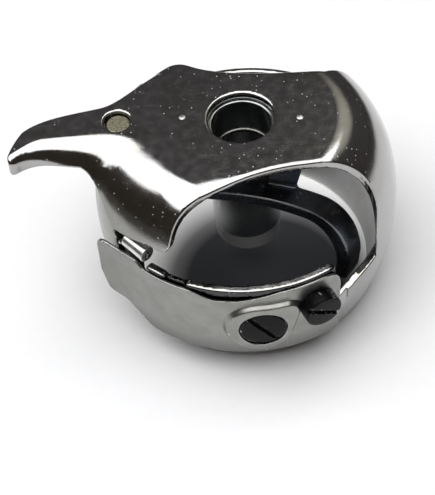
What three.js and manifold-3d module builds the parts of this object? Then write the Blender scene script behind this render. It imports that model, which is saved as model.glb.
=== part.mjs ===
// Bobbin case of a rotary-hook sewing machine, without a latch.
// Millimetres, +Z up. The case stands on its open rim; the face plate is on top.
// X runs along the face plate's bridge, with the horn at -X. The thread leaves at the front, -Y.
import * as THREE from 'three';
import { mergeVertices } from 'three/addons/utils/BufferGeometryUtils.js';
import Module from 'manifold-3d';

const wasm = await Module();
wasm.setup();

// ---------------------------------------------------------------- driving dimensions

const CASE_HEIGHT = 18.4; // open rim to the top of the face plate
const WALL = 0.75; // thickness of the shell
const RIM_RADIUS = 11.3; // outer radius at the open rim
const BARREL_RADIUS = 13.15; // outer radius at the widest place
const BARREL_HEIGHT = 9.5; // height of the widest place
const FLAT_RADIUS = 8; // where the flat face plate begins to turn down
const PLATE_UNDERSIDE = CASE_HEIGHT - WALL;
const RIM_EASE = { radius: 12.3, height: 2.7, upper: 5.6 }; // the wall's curve from the rim to the widest place
const SHOULDER_EASE = { height: 14.4, radius: 10.8 }; // its curve from there to the flat

// Places round the barrel are in degrees from +X; low, high and top are heights.
const FRONT_WINDOW = { left: -117, right: -30.3, lowLeft: 6.5, lowRight: 7.8, rightX: 11.35 };
const TONGUE = { left: -127.3, right: -51.5, top: 11.3 }; // the wall left standing in front
const THREAD_SLOT = { left: -143.5, low: 11.3, high: 13, mouthHigh: 13.6, notch: -130.3, notchLow: 9.8 };
const BACK_WINDOW = { right: 39, left: 130, low: 11.2 };

const HORN = { thickness: 1.1, bevel: 0.3, rootLow: 16.1 };
const HORN_PIN = { x: -10.35, y: -0.55, radius: 1.12, recess: 0.4, length: 2.1 };

const POST = { radius: 3, bore: 2.5, low: 4.2, hole: 2.8 };
const POST_FLANGE = { halfLength: 6.7, halfWidth: 3.6, thickness: 0.7 };
const POST_RIVET = { x: 4.95, radius: 0.4, headRadius: 0.85, headHeight: 0.4 };
const SNAP_RING = { wire: 0.225, radius: 2.48, height: 14.2, gapDegrees: 50 };

const SPRING_SEAT = { radius: 12.8, low: 2.4, high: 10.7, left: -140, right: -45 };
const TENSION_SPRING = { inner: 12.92, thickness: 0.3, low: 3.2, high: 10, right: -50.5, leaves: -126.5 };
const LEAF_END = { length: 5.6, left: -12.35, right: 8.45, corner: 1.1, bevel: 1.2 }; // seen from the front
const COLLAR = { radius: 2.75, hole: 2.1, height: 0.42, root: 0.4, pointX: 3.7, pointY: 0.9 };
const TENSION_SCREW = { angle: -81.9, z: 6.75, head: 1.95, shank: 1, low: 13.42, height: 0.32, slot: -53.7 };
const FIXING_SCREW = { angle: -60.6, z: 8, head: 1.65, shank: 0.85, low: 13.3, height: 1.15, slot: -32.1 };
const SCREW_TIP = 11.7; // distance of both screws' tips from the case's axis
const SCREW_SLOT = { width: 0.42, depth: 0.22 };
const SHANK_ROOM = { tension: 0.25, fixing: 0.15 }; // round the screws, in the leaf

const ANTI_SPIN = { thickness: 1.05, turn: -31, foot: 16.7, low: 4.95, bend: 11.3 };
const ANTI_SPIN_FOOT = { x: -4.95, radius: 1.7 };
const ANTI_SPIN_SLOPE = { startX: 5.4, start: 15, endX: 8.35, end: 13.6, bendLow: 7 }; // of the upper face
const ANTI_SPIN_EAR = { width: 1.3, thickness: 0.5, height: 3, x: 4.5, y: -3.85, z: 14.9 };
const ANTI_SPIN_GAP = 0.08; // room for the spring to rock on its rivet
const ROLLER = { radius: 0.52, bore: 0.26, length: 2.5, angle: -133.6, ring: 12.5, z: 12.3 };
const ROLLER_COLLAR = { radius: 0.62, length: 0.3 };
const ROLLER_PIN = { radius: 0.21, length: 4.3 };

const FIT = 0.04; // radial clearance of pieces that are pressed or screwed together
const CLEAR = 0.03; // gap between faces that bear on each other
const REACH = 40; // how far a cutting tool runs past the case

// ---------------------------------------------------------------- materials

const chrome = new THREE.MeshStandardMaterial({ color: 0xb9b8b6, roughness: 0.16, metalness: 1 });
const satinSteel = new THREE.MeshStandardMaterial({ color: 0xa3a39d, roughness: 0.38, metalness: 1 });
const bluedSteel = new THREE.MeshStandardMaterial({ color: 0x34383d, roughness: 0.35, metalness: 1 });
const blackSteel = new THREE.MeshStandardMaterial({ color: 0x202224, roughness: 0.5, metalness: 0.9 });
const springWire = new THREE.MeshStandardMaterial({ color: 0x9c9a94, roughness: 0.3, metalness: 1 });
const agedBrass = new THREE.MeshStandardMaterial({ color: 0x8f8b6c, roughness: 0.5, metalness: 0.8 });

// ---------------------------------------------------------------- helpers

const radians = THREE.MathUtils.degToRad;

function polar(radius, degrees) {
  return new THREE.Vector2(radius * Math.cos(radians(degrees)), radius * Math.sin(radians(degrees)));
}

/** A closed geometry as a solid: vertices merged, flat triangles dropped, faces turned outwards. */
function solid(geometry) {
  const bare = geometry.clone();
  bare.deleteAttribute('normal');
  bare.deleteAttribute('uv');
  const merged = mergeVertices(bare, 1e-4);
  const points = merged.attributes.position;
  const index = merged.index.array;
  const triangles = [];
  const [a, b, c] = [new THREE.Vector3(), new THREE.Vector3(), new THREE.Vector3()];
  let volume = 0;
  for (let i = 0; i < index.length; i += 3) {
    const [i0, i1, i2] = index.slice(i, i + 3);
    if (i0 === i1 || i1 === i2 || i2 === i0) continue;
    triangles.push(i0, i1, i2);
    a.fromBufferAttribute(points, i0);
    b.fromBufferAttribute(points, i1);
    c.fromBufferAttribute(points, i2);
    volume += a.dot(b.cross(c));
  }
  if (volume < 0) triangles.reverse();
  const vertProperties = new Float32Array(points.array);
  const triVerts = new Uint32Array(triangles);
  return new wasm.Manifold(new wasm.Mesh({ numProp: 3, vertProperties, triVerts }));
}

function geometryOf(manifold) {
  const mesh = manifold.getMesh();
  const geometry = new THREE.BufferGeometry();
  geometry.setAttribute('position', new THREE.BufferAttribute(mesh.vertProperties, 3));
  geometry.setIndex(new THREE.BufferAttribute(mesh.triVerts, 1));
  return geometry;
}

/** A solid of revolution about Z; the path holds (radius, height). */
function turned(path, segments = 72, divisions = 8) {
  const lathe = new THREE.LatheGeometry(path.getPoints(divisions), segments);
  return solid(lathe.rotateX(Math.PI / 2));
}

/** A round bar along Z from low to high. */
function bar(radius, low, high, segments = 32) {
  const cylinder = new THREE.CylinderGeometry(radius, radius, high - low, segments);
  return cylinder.rotateX(Math.PI / 2).translate(0, 0, (low + high) / 2);
}

/** A flat outline in XY raised from low to high. */
function raised(shape, low, high, curveSegments = 12) {
  const depth = high - low;
  const geometry = new THREE.ExtrudeGeometry(shape, { depth, bevelEnabled: false, curveSegments });
  return geometry.translate(0, 0, low);
}

/** The place on the barrel where local Z points outwards, local Y up and local X right, seen from outside. */
function onBarrel(degrees, z) {
  const out = new THREE.Vector3(Math.cos(radians(degrees)), Math.sin(radians(degrees)), 0);
  const up = new THREE.Vector3(0, 0, 1);
  const right = new THREE.Vector3().crossVectors(up, out);
  return new THREE.Matrix4().makeBasis(right, up, out).setPosition(0, 0, z);
}

/** An outline in (degrees round the barrel, height), raised radially from the inner to the outer radius. */
function wrapped(shape, inner, outer) {
  const geometry = raised(shape, inner, outer);
  const points = geometry.attributes.position;
  for (let i = 0; i < points.count; i += 1) {
    const place = polar(points.getZ(i), points.getX(i));
    points.setXYZ(i, place.x, place.y, points.getY(i));
  }
  return geometry;
}

function piece(name, shape, material) {
  const geometry = shape.isBufferGeometry ? geometryOf(solid(shape)) : geometryOf(shape);
  geometry.computeVertexNormals();
  const mesh = new THREE.Mesh(geometry, material);
  mesh.name = name;
  return mesh;
}

// ---------------------------------------------------------------- case body

/** The shell's profile, moved inwards by inset, closed on the axis at height low. */
function shellProfile(inset, low) {
  const top = CASE_HEIGHT - inset;
  const widest = BARREL_RADIUS - inset;
  const profile = new THREE.Path();
  profile.moveTo(0, low);
  profile.lineTo(RIM_RADIUS - inset, low);
  if (low < 0) profile.lineTo(RIM_RADIUS - inset, 0);
  const lower = RIM_EASE;
  profile.bezierCurveTo(lower.radius - inset, lower.height, widest, lower.upper, widest, BARREL_HEIGHT);
  const upper = { radius: SHOULDER_EASE.radius - inset / 2, height: SHOULDER_EASE.height - inset / 2 };
  profile.bezierCurveTo(widest, upper.height, upper.radius, top, FLAT_RADIUS, top);
  profile.lineTo(0, top);
  return profile;
}

/** The horn seen from above, from the root inside the face plate to the hooked tip and back. */
function hornOutline() {
  const outline = new THREE.Shape();
  outline.moveTo(-6.5, 3.8);
  outline.lineTo(-9.2, 2.9);
  outline.bezierCurveTo(-11.2, 1.1, -16, 0.6, -18.3, -1.4);
  outline.quadraticCurveTo(-19.2, -2.3, -19.6, -4.5);
  outline.quadraticCurveTo(-19.7, -5.9, -18.8, -5.7);
  outline.bezierCurveTo(-17.3, -4.1, -15.2, -4.6, -12.5, -5.5);
  outline.lineTo(-10.4, -4.1);
  outline.lineTo(-6.5, -4.6);
  return outline;
}

/** The step under the horn's root that joins it to the shoulder of the shell. */
function hornRootOutline() {
  const outline = new THREE.Shape();
  outline.moveTo(-7, 2.6);
  outline.lineTo(-10.2, 1.2);
  outline.quadraticCurveTo(-13, 0.1, -12.7, -2.4);
  outline.quadraticCurveTo(-12.2, -4.9, -9.6, -3.8);
  outline.lineTo(-7, -4);
  return outline;
}

function horn() {
  const { thickness, bevel } = HORN;
  const blade = new THREE.ExtrudeGeometry(hornOutline(), {
    depth: thickness - 2 * bevel,
    bevelThickness: bevel,
    bevelSize: bevel,
    bevelOffset: -bevel,
    bevelSegments: 2,
    curveSegments: 10,
  });
  blade.translate(0, 0, CASE_HEIGHT - thickness + bevel);
  const root = raised(hornRootOutline(), HORN.rootLow, CASE_HEIGHT - bevel);
  return solid(blade).add(solid(root));
}

/** Everything in front of the face plate's front edge, from the pointed lobe to the milled right side. */
function frontOpening() {
  const { left, rightX } = FRONT_WINDOW;
  const outline = new THREE.Shape();
  const leftOut = polar(REACH, left);
  outline.moveTo(-5.75, -11.6);
  outline.bezierCurveTo(-5.2, -9.9, -4.4, -9.5, -2.95, -8.7);
  outline.bezierCurveTo(-0.8, -7.5, 1.4, -5.9, 5.1, -5.3);
  outline.bezierCurveTo(6.5, -5.1, 8.2, -4.7, 9.6, -4.7);
  outline.quadraticCurveTo(rightX, -4.7, rightX, -5.7);
  outline.lineTo(rightX, -REACH);
  outline.lineTo(leftOut.x, leftOut.y);
  return solid(raised(outline, TONGUE.top, CASE_HEIGHT + WALL, 12));
}

/** The window in the wall: deep at the right, shallow over the tongue, with the thread slot at the left. */
function wallWindow() {
  const { right, lowLeft, lowRight, left } = FRONT_WINDOW;
  const round = 3; // degrees taken by the tongue's rounded corner
  const outline = new THREE.Shape();
  outline.moveTo(right, lowRight);
  outline.lineTo(right, TONGUE.top + 1);
  outline.lineTo(left, TONGUE.top + 1);
  outline.lineTo(left, THREAD_SLOT.mouthHigh);
  outline.lineTo(THREAD_SLOT.left + 2, THREAD_SLOT.high);
  outline.quadraticCurveTo(THREAD_SLOT.left, THREAD_SLOT.high, THREAD_SLOT.left, THREAD_SLOT.high - 0.5);
  outline.lineTo(THREAD_SLOT.left, THREAD_SLOT.low);
  outline.lineTo(THREAD_SLOT.notch, THREAD_SLOT.low);
  outline.lineTo(THREAD_SLOT.notch, THREAD_SLOT.notchLow);
  outline.lineTo(TONGUE.left, THREAD_SLOT.notchLow);
  outline.lineTo(TONGUE.left, TONGUE.top);
  outline.lineTo(TONGUE.right - round, TONGUE.top);
  outline.quadraticCurveTo(TONGUE.right, TONGUE.top, TONGUE.right, TONGUE.top - 1);
  outline.lineTo(TONGUE.right, lowLeft + 0.6);
  outline.quadraticCurveTo(TONGUE.right, lowLeft, TONGUE.right + round, lowLeft);
  return solid(wrapped(outline, 9, REACH));
}

/** Everything behind the face plate's hollow back edge. */
function backOpening() {
  const { left, right, low } = BACK_WINDOW;
  const rightOut = polar(REACH, right);
  const leftOut = polar(REACH, left);
  const outline = new THREE.Shape();
  outline.moveTo(6.9, 5.6);
  outline.bezierCurveTo(3.2, 5.3, -1.6, 4.9, -4.9, 6.3);
  outline.lineTo(leftOut.x, leftOut.y);
  outline.lineTo(0, REACH);
  outline.lineTo(rightOut.x, rightOut.y);
  return solid(raised(outline, low, CASE_HEIGHT + WALL, 16));
}

/** The shallow flat-bottomed recess that the tension spring lies in. */
function springSeat() {
  const { radius, low, high, left, right } = SPRING_SEAT;
  const step = (right - left) / 16;
  const outline = new THREE.Shape();
  outline.moveTo(left, low);
  for (let angle = left + step; angle < right; angle += step) outline.lineTo(angle, low);
  outline.lineTo(right, low);
  for (let angle = right; angle > left; angle -= step) outline.lineTo(angle, high);
  outline.lineTo(left, high);
  const band = solid(wrapped(outline, 9, REACH));
  return band.subtract(solid(bar(radius, 0, CASE_HEIGHT, 96)));
}

function screwHole(screw) {
  return solid(bar(screw.shank + FIT, SCREW_TIP - 2, REACH).applyMatrix4(onBarrel(screw.angle, screw.z)));
}

/** A geometry whose axis is Z, laid along the thread roller's axis. */
function alongRoller(geometry) {
  geometry.rotateY(Math.PI / 2).translate(0, 0, ROLLER.ring);
  return geometry.applyMatrix4(onBarrel(ROLLER.angle, ROLLER.z));
}

function caseBody() {
  let body = turned(shellProfile(0, 0)).add(horn());
  body = body.subtract(turned(shellProfile(WALL, -1)));
  for (const cut of [frontOpening(), wallWindow(), backOpening(), springSeat()]) body = body.subtract(cut);
  body = body.subtract(solid(bar(POST.hole, PLATE_UNDERSIDE - 1, CASE_HEIGHT + 1, 48)));
  for (const side of [-1, 1]) {
    const hole = bar(POST_RIVET.radius + FIT, PLATE_UNDERSIDE - 1, CASE_HEIGHT + 1, 20);
    body = body.subtract(solid(hole.translate(side * POST_RIVET.x, 0, 0)));
  }
  const pinHole = bar(HORN_PIN.radius + FIT, 10, CASE_HEIGHT + 1).translate(HORN_PIN.x, HORN_PIN.y, 0);
  body = body.subtract(solid(pinHole));
  body = body.subtract(screwHole(TENSION_SCREW)).subtract(screwHole(FIXING_SCREW));
  const halfPin = ROLLER_PIN.length / 2 + CLEAR;
  return body.subtract(solid(alongRoller(bar(ROLLER_PIN.radius + FIT, -halfPin, halfPin, 16))));
}

// ---------------------------------------------------------------- centre post

/** The tube that the bobbin turns on, hung from an oval flange under the face plate. */
function centrePost() {
  const top = PLATE_UNDERSIDE - CLEAR;
  const flange = new THREE.Shape();
  flange.absellipse(0, 0, POST_FLANGE.halfLength, POST_FLANGE.halfWidth, 0, 2 * Math.PI);
  let post = solid(raised(flange, top - POST_FLANGE.thickness, top, 24));
  post = post.add(solid(bar(POST.radius, POST.low, top - 0.1, 48)));
  post = post.subtract(solid(bar(POST.bore, 0, CASE_HEIGHT, 48)));
  const groove = new THREE.Path();
  const { wire, radius, height } = SNAP_RING;
  const halfGroove = wire + FIT;
  groove.moveTo(0, height - halfGroove);
  groove.lineTo(radius + halfGroove, height - halfGroove);
  groove.lineTo(radius + halfGroove, height + halfGroove);
  groove.lineTo(0, height + halfGroove);
  post = post.subtract(turned(groove, 48));
  for (const side of [-1, 1]) {
    const hole = bar(POST_RIVET.radius + FIT, 10, CASE_HEIGHT, 20);
    post = post.subtract(solid(hole.translate(side * POST_RIVET.x, 0, 0)));
  }
  return post;
}

/** A flush-topped rivet through the face plate and flange, with a round head at height low. */
function rivet(low) {
  const { radius, headRadius, headHeight } = POST_RIVET;
  const profile = new THREE.Path();
  profile.moveTo(0, low - headHeight);
  profile.lineTo(headRadius * 0.6, low - headHeight);
  profile.lineTo(headRadius, low - headHeight * 0.5);
  profile.lineTo(headRadius, low);
  profile.lineTo(radius, low);
  profile.lineTo(radius, CASE_HEIGHT);
  profile.lineTo(0, CASE_HEIGHT);
  return turned(profile, 20);
}

/** The line that the snap ring's wire follows: a level circle with a gap towards +X. */
class SnapRingLine extends THREE.Curve {
  getPoint(t) {
    const { radius, height, gapDegrees } = SNAP_RING;
    const place = polar(radius, gapDegrees / 2 + (360 - gapDegrees) * t);
    return new THREE.Vector3(place.x, place.y, height);
  }
}

/** The open spring ring in the post's groove, which snaps over the hook's stud. */
function snapRing() {
  const section = new THREE.Shape().absarc(0, 0, SNAP_RING.wire, 0, 2 * Math.PI);
  return new THREE.ExtrudeGeometry(section, { steps: 40, extrudePath: new SnapRingLine(), curveSegments: 5 });
}

function hornPin() {
  const { x, y, radius, recess, length } = HORN_PIN;
  const top = CASE_HEIGHT - recess;
  return bar(radius, top - length, top).translate(x, y, 0);
}

// ---------------------------------------------------------------- tension spring and screws

/** The leaf seen from above: it hugs the barrel, then leaves it in a straight line to the free end. */
function leafPlan() {
  const { inner, thickness, right, leaves } = TENSION_SPRING;
  const outer = inner + thickness;
  const outerEnd = polar(outer, leaves).add(polar(LEAF_END.length, leaves - 90));
  const innerStart = polar(inner, leaves);
  const innerEnd = innerStart.clone().add(polar(LEAF_END.length, leaves - 90));
  const plan = new THREE.Shape();
  plan.absarc(0, 0, outer, radians(right), radians(leaves), true);
  plan.lineTo(outerEnd.x, outerEnd.y);
  plan.lineTo(innerEnd.x, innerEnd.y);
  plan.lineTo(innerStart.x, innerStart.y);
  plan.absarc(0, 0, inner, radians(leaves), radians(right), false);
  return plan;
}

/** The leaf's face seen from the front: rounded upper corners and a sloping lower edge at the free end. */
function leafFace() {
  const { low, high } = TENSION_SPRING;
  const { left, right, corner, bevel } = LEAF_END;
  const rightHigh = high + 0.3;
  const leftHigh = high - 0.1;
  const face = new THREE.Shape();
  face.moveTo(left + 5, low);
  face.lineTo(right - 0.5, low);
  face.lineTo(right, rightHigh - corner);
  face.quadraticCurveTo(right, rightHigh, right - corner, rightHigh);
  face.lineTo(-4, high);
  face.lineTo(left + corner, leftHigh);
  face.quadraticCurveTo(left, leftHigh, left, leftHigh - corner);
  face.lineTo(left + 0.6, low + bevel);
  return face;
}

/** The raised collar round the tension screw, drawn out to a point towards the fixing screw. */
function collarOutline() {
  const { radius, pointX, pointY } = COLLAR;
  const outline = new THREE.Shape();
  const start = polar(radius, 70);
  outline.absarc(0, 0, radius, radians(70), radians(-45), false);
  outline.quadraticCurveTo(pointX, pointY - 0.8, pointX, pointY);
  outline.quadraticCurveTo(pointX - 0.2, pointY + 1.2, start.x, start.y);
  return outline;
}

function tensionSpring() {
  const { inner, thickness, low, high } = TENSION_SPRING;
  let leaf = solid(raised(leafPlan(), low - 1, high + 1, 28));
  const face = raised(leafFace(), 0, REACH).rotateX(Math.PI / 2);
  leaf = leaf.intersect(solid(face));
  const outside = onBarrel(TENSION_SCREW.angle, TENSION_SCREW.z);
  const outer = inner + thickness;
  const collarTop = outer + COLLAR.height;
  const collar = raised(collarOutline(), inner - COLLAR.root, collarTop, 20).applyMatrix4(outside);
  const withinLeaf = solid(bar(inner + CLEAR, 0, CASE_HEIGHT, 96));
  leaf = leaf.add(solid(collar).subtract(withinLeaf));
  const seatHole = bar(COLLAR.hole, outer + CLEAR, REACH).applyMatrix4(outside);
  const shankHole = bar(TENSION_SCREW.shank + SHANK_ROOM.tension, SCREW_TIP, REACH).applyMatrix4(outside);
  const fixing = onBarrel(FIXING_SCREW.angle, FIXING_SCREW.z);
  const fixingHole = bar(FIXING_SCREW.shank + SHANK_ROOM.fixing, SCREW_TIP, REACH).applyMatrix4(fixing);
  const headRoom = bar(FIXING_SCREW.head + SHANK_ROOM.fixing, outer + CLEAR, REACH).applyMatrix4(fixing);
  for (const cut of [seatHole, shankHole, fixingHole, headRoom]) leaf = leaf.subtract(solid(cut));
  return leaf;
}

/** A slotted cheese-head screw whose axis is Z, pointing outwards. */
function slottedScrew({ head, shank, low, height, slot }) {
  const top = low + height;
  const edge = Math.min(0.15, height / 3);
  const point = 0.2;
  const profile = new THREE.Path();
  profile.moveTo(0, SCREW_TIP);
  profile.lineTo(shank - point, SCREW_TIP);
  profile.lineTo(shank, SCREW_TIP + point);
  profile.lineTo(shank, low);
  profile.lineTo(head, low);
  profile.lineTo(head, top - edge);
  profile.lineTo(head - edge, top);
  profile.lineTo(0, top);
  const cut = new THREE.BoxGeometry(4 * head, SCREW_SLOT.width, 2 * SCREW_SLOT.depth);
  cut.translate(0, 0, top).rotateZ(radians(slot));
  return turned(profile, 32).subtract(solid(cut));
}

function placedOnBarrel(mesh, { angle, z }) {
  const place = new THREE.Group();
  place.applyMatrix4(onBarrel(angle, z));
  place.add(mesh);
  return place;
}

// ---------------------------------------------------------------- anti-spin spring

/** The bow seen edge-on: a thick leaf that slopes down to the right and turns down along the wall. */
function bowProfile() {
  const { thickness, foot, low, bend } = ANTI_SPIN;
  const { startX, start, endX, end, bendLow } = ANTI_SPIN_SLOPE;
  const footLow = foot - thickness;
  const inside = bend - thickness;
  const bow = new THREE.Shape();
  bow.moveTo(-8, foot);
  bow.lineTo(-3.5, foot);
  bow.bezierCurveTo(0, 16.4, 2.6, 15.8, startX, start);
  bow.lineTo(endX, end);
  bow.bezierCurveTo(10.1, 12.7, bend, 10.4, bend, bendLow);
  bow.lineTo(bend, low);
  bow.lineTo(inside, low);
  bow.lineTo(inside, bendLow);
  bow.bezierCurveTo(inside, 9.9, 9.3, 11.8, endX - 0.4, end - thickness);
  bow.lineTo(startX - 0.4, start - thickness);
  bow.bezierCurveTo(2.3, 14.8, -0.2, 15.4, -3.6, footLow);
  bow.lineTo(-8, footLow);
  return bow;
}

/** The bow seen from above: a foot under the left rivet, then a band that passes in front of the post. */
function bowPlan() {
  const { x, radius } = ANTI_SPIN_FOOT;
  const plan = new THREE.Shape();
  plan.moveTo(x - radius, 0);
  plan.lineTo(x - radius, -3.4);
  plan.quadraticCurveTo(x - radius, -6.4, -3.6, -6.3);
  plan.bezierCurveTo(0, -5.8, 3, -5.8, 9.6, -6.95);
  plan.lineTo(10.6, -5.2);
  plan.bezierCurveTo(6.6, -4.2, 4.6, -3.5, 0.6, -3.75);
  plan.quadraticCurveTo(x + radius, -3.9, x + radius, -2.2);
  plan.lineTo(x + radius, 0);
  plan.absarc(x, 0, radius, 0, Math.PI, false);
  return plan;
}

function antiSpinSpring() {
  const edgeOn = new THREE.Matrix4().makeRotationZ(radians(ANTI_SPIN.turn));
  edgeOn.multiply(new THREE.Matrix4().makeRotationX(Math.PI / 2));
  const bow = solid(raised(bowProfile(), -REACH / 2, REACH / 2, 8).applyMatrix4(edgeOn));
  const plan = solid(raised(bowPlan(), 0, CASE_HEIGHT, 10));
  const { width, thickness, height, x, y, z } = ANTI_SPIN_EAR;
  const ear = new THREE.BoxGeometry(width, thickness, height).translate(x, y, z);
  const rivetHole = bar(POST_RIVET.radius + ANTI_SPIN_GAP, 10, CASE_HEIGHT, 20);
  rivetHole.translate(ANTI_SPIN_FOOT.x, 0, 0);
  return bow.intersect(plan).add(solid(ear)).subtract(solid(rivetHole));
}

// ---------------------------------------------------------------- thread roller

function threadRoller() {
  const { radius, bore, length } = ROLLER;
  const half = length / 2;
  let roller = solid(bar(radius, -half, half, 24));
  roller = roller.add(solid(bar(ROLLER_COLLAR.radius, half - ROLLER_COLLAR.length, half, 24)));
  return roller.subtract(solid(bar(bore, -length, length, 20)));
}

// ---------------------------------------------------------------- assembly

const caseAssembly = new THREE.Group();
const flangeLow = PLATE_UNDERSIDE - CLEAR - POST_FLANGE.thickness;

const footLow = ANTI_SPIN.foot - ANTI_SPIN.thickness;
const leftRivet = piece('post_rivet_left', rivet(footLow - ANTI_SPIN_GAP), satinSteel);
leftRivet.position.x = -POST_RIVET.x;
const rightRivet = piece('post_rivet_right', rivet(flangeLow - CLEAR), satinSteel);
rightRivet.position.x = POST_RIVET.x;

const tensionScrew = piece('tension_screw', slottedScrew(TENSION_SCREW), blackSteel);
const fixingScrew = piece('fixing_screw', slottedScrew(FIXING_SCREW), blackSteel);
const halfPin = ROLLER_PIN.length / 2;

caseAssembly.add(
  piece('case_body', caseBody(), chrome),
  piece('centre_post', centrePost(), satinSteel),
  leftRivet,
  rightRivet,
  piece('post_snap_ring', snapRing(), springWire),
  piece('horn_pin', hornPin(), agedBrass),
  piece('tension_spring', tensionSpring(), satinSteel),
  placedOnBarrel(tensionScrew, TENSION_SCREW),
  placedOnBarrel(fixingScrew, FIXING_SCREW),
  piece('anti_spin_spring', antiSpinSpring(), bluedSteel),
  piece('thread_roller', alongRoller(geometryOf(threadRoller())), satinSteel),
  piece('roller_pin', alongRoller(bar(ROLLER_PIN.radius, -halfPin, halfPin, 16)), springWire),
);

// The part's origin is the middle of its footprint, on the plane that the rim stands on.
caseAssembly.updateMatrixWorld(true);
const extent = new THREE.Box3().setFromObject(caseAssembly, true);
const middle = extent.getCenter(new THREE.Vector3());
caseAssembly.position.set(-middle.x, -middle.y, -extent.min.z);

export default caseAssembly;
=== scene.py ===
"""Bobbin case: the visible model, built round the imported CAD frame.

Every piece is an implicit solid in millimetres, centred on the post's axis with z = 0 on the open rim.
A surface net turns each one into a closed mesh, and its vertices are then moved onto the exact surface.
"""

import itertools
import math

import bpy
import numpy as np
from mathutils import Matrix, Vector


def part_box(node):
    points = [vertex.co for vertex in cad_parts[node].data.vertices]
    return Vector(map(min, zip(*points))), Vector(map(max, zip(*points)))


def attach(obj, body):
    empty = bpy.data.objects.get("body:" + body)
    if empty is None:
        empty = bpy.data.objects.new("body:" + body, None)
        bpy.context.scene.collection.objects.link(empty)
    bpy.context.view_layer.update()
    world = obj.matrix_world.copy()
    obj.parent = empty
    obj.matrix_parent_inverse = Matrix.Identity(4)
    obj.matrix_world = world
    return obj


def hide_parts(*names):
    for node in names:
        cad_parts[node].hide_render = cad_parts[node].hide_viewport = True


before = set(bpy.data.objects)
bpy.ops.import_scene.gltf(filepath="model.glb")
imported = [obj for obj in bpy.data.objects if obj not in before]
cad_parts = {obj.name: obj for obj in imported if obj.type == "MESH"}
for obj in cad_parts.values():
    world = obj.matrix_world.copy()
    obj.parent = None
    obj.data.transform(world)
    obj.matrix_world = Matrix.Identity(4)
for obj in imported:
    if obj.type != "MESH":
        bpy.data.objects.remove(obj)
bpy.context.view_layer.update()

# ------------------------------------------------------------------ frame and driving sizes (mm)

MM = 0.001


def node_box(node):
    low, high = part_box(node)
    return np.array(low) / MM, np.array(high) / MM


body_high = node_box("case_body")[1]
post_low, post_high = node_box("centre_post")
AXIS = np.array([*((post_low + post_high) / 2)[:2], 0.0])  # the post's axis on the rim plane

HEIGHT = body_high[2]
BARREL = body_high[0] - AXIS[0]  # outer radius at the widest place
WALL = 0.75
WIDEST = 9.5  # height of the widest place
RIM = BARREL - 1.85
RIM_POWER = 2.2  # how the wall draws in below the widest place
FLAT = 8.0  # radius where the face plate begins to turn down
UNDERSIDE = HEIGHT - WALL
DETAIL = 1.0
REACH = 40.0

# ------------------------------------------------------------------ implicit solids


def round_max(a, b, r):
    """Both at once, with the edge between them rounded to radius r."""
    return np.hypot(np.maximum(a + r, 0), np.maximum(b + r, 0)) + np.minimum(np.maximum(a, b) + r, 0) - r


def round_min(a, b, r):
    """Either one, with the corner between them filled to radius r."""
    return -round_max(-a, -b, r)


def soft_min(a, b, k):
    """Either one, blended where they are closer than k."""
    k = np.maximum(k, 1e-6)
    h = np.maximum(k - np.abs(a - b), 0) / k
    return np.minimum(a, b) - h * h * k / 4


def smooth(t):
    t = np.clip(t, 0, 1)
    return t * t * (3 - 2 * t)


def polar(radius, degrees):
    return np.array([radius * math.cos(math.radians(degrees)), radius * math.sin(math.radians(degrees))])


def bezier(*points, steps=14):
    """Points along a quadratic or cubic curve, without the last one."""
    points = [np.array(p, float) for p in points]
    out = []
    for t in np.linspace(0, 1, steps, endpoint=False):
        row = points
        while len(row) > 1:
            row = [a + (b - a) * t for a, b in zip(row, row[1:])]
        out.append(row[0])
    return out


def rounded(corners, steps=6):
    """A closed outline from (x, y, corner radius) triples."""
    out = []
    for i, (x, y, r) in enumerate(corners):
        here = np.array([x, y], float)
        before = np.array(corners[i - 1][:2], float) - here
        after = np.array(corners[(i + 1) % len(corners)][:2], float) - here
        if r <= 0:
            out.append(here)
            continue
        before /= np.linalg.norm(before)
        after /= np.linalg.norm(after)
        half = math.acos(float(np.clip(before @ after, -1, 1))) / 2
        reach = r / math.tan(half)
        out += bezier(here + before * reach, here, here + after * reach, steps=steps)
        out.append(here + after * reach)
    return out


def outline_distance(points, u, v):
    """Signed distance from (u, v) to a closed outline, negative inside."""
    points = np.array(points, float)
    best = np.full(u.shape, 1e9)
    inside = np.zeros(u.shape, bool)
    for (ax, ay), (bx, by) in zip(points, np.roll(points, -1, axis=0)):
        ex, ey = bx - ax, by - ay
        wx, wy = u - ax, v - ay
        t = np.clip((wx * ex + wy * ey) / max(ex * ex + ey * ey, 1e-12), 0, 1)
        best = np.minimum(best, (wx - ex * t) ** 2 + (wy - ey * t) ** 2)
        crosses = (ay > v) != (by > v)
        if ey != 0:
            inside ^= crosses & (u < ax + (v - ay) * ex / ey)
    return np.where(inside, -1, 1) * np.sqrt(best)


def line_distance(points, u, v):
    """Distance from (u, v) to an open chain of points."""
    best = np.full(u.shape, 1e9)
    for (ax, ay), (bx, by) in zip(points, points[1:]):
        ex, ey = bx - ax, by - ay
        wx, wy = u - ax, v - ay
        t = np.clip((wx * ex + wy * ey) / max(ex * ex + ey * ey, 1e-12), 0, 1)
        best = np.minimum(best, (wx - ex * t) ** 2 + (wy - ey * t) ** 2)
    return np.sqrt(best)


def on_barrel(x, y, z, degrees, height):
    """Coordinates to the right, upwards and outwards of a place on the barrel, seen from outside."""
    c, s = math.cos(math.radians(degrees)), math.sin(math.radians(degrees))
    return y * c - x * s, z - height, x * c + y * s


def gradient(field, points, h=0.01):
    slopes = []
    for axis in range(3):
        shift = np.zeros(3)
        shift[axis] = h
        slopes.append((field(*(points + shift).T) - field(*(points - shift).T)) / (2 * h))
    return np.stack(slopes, 1)


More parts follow.
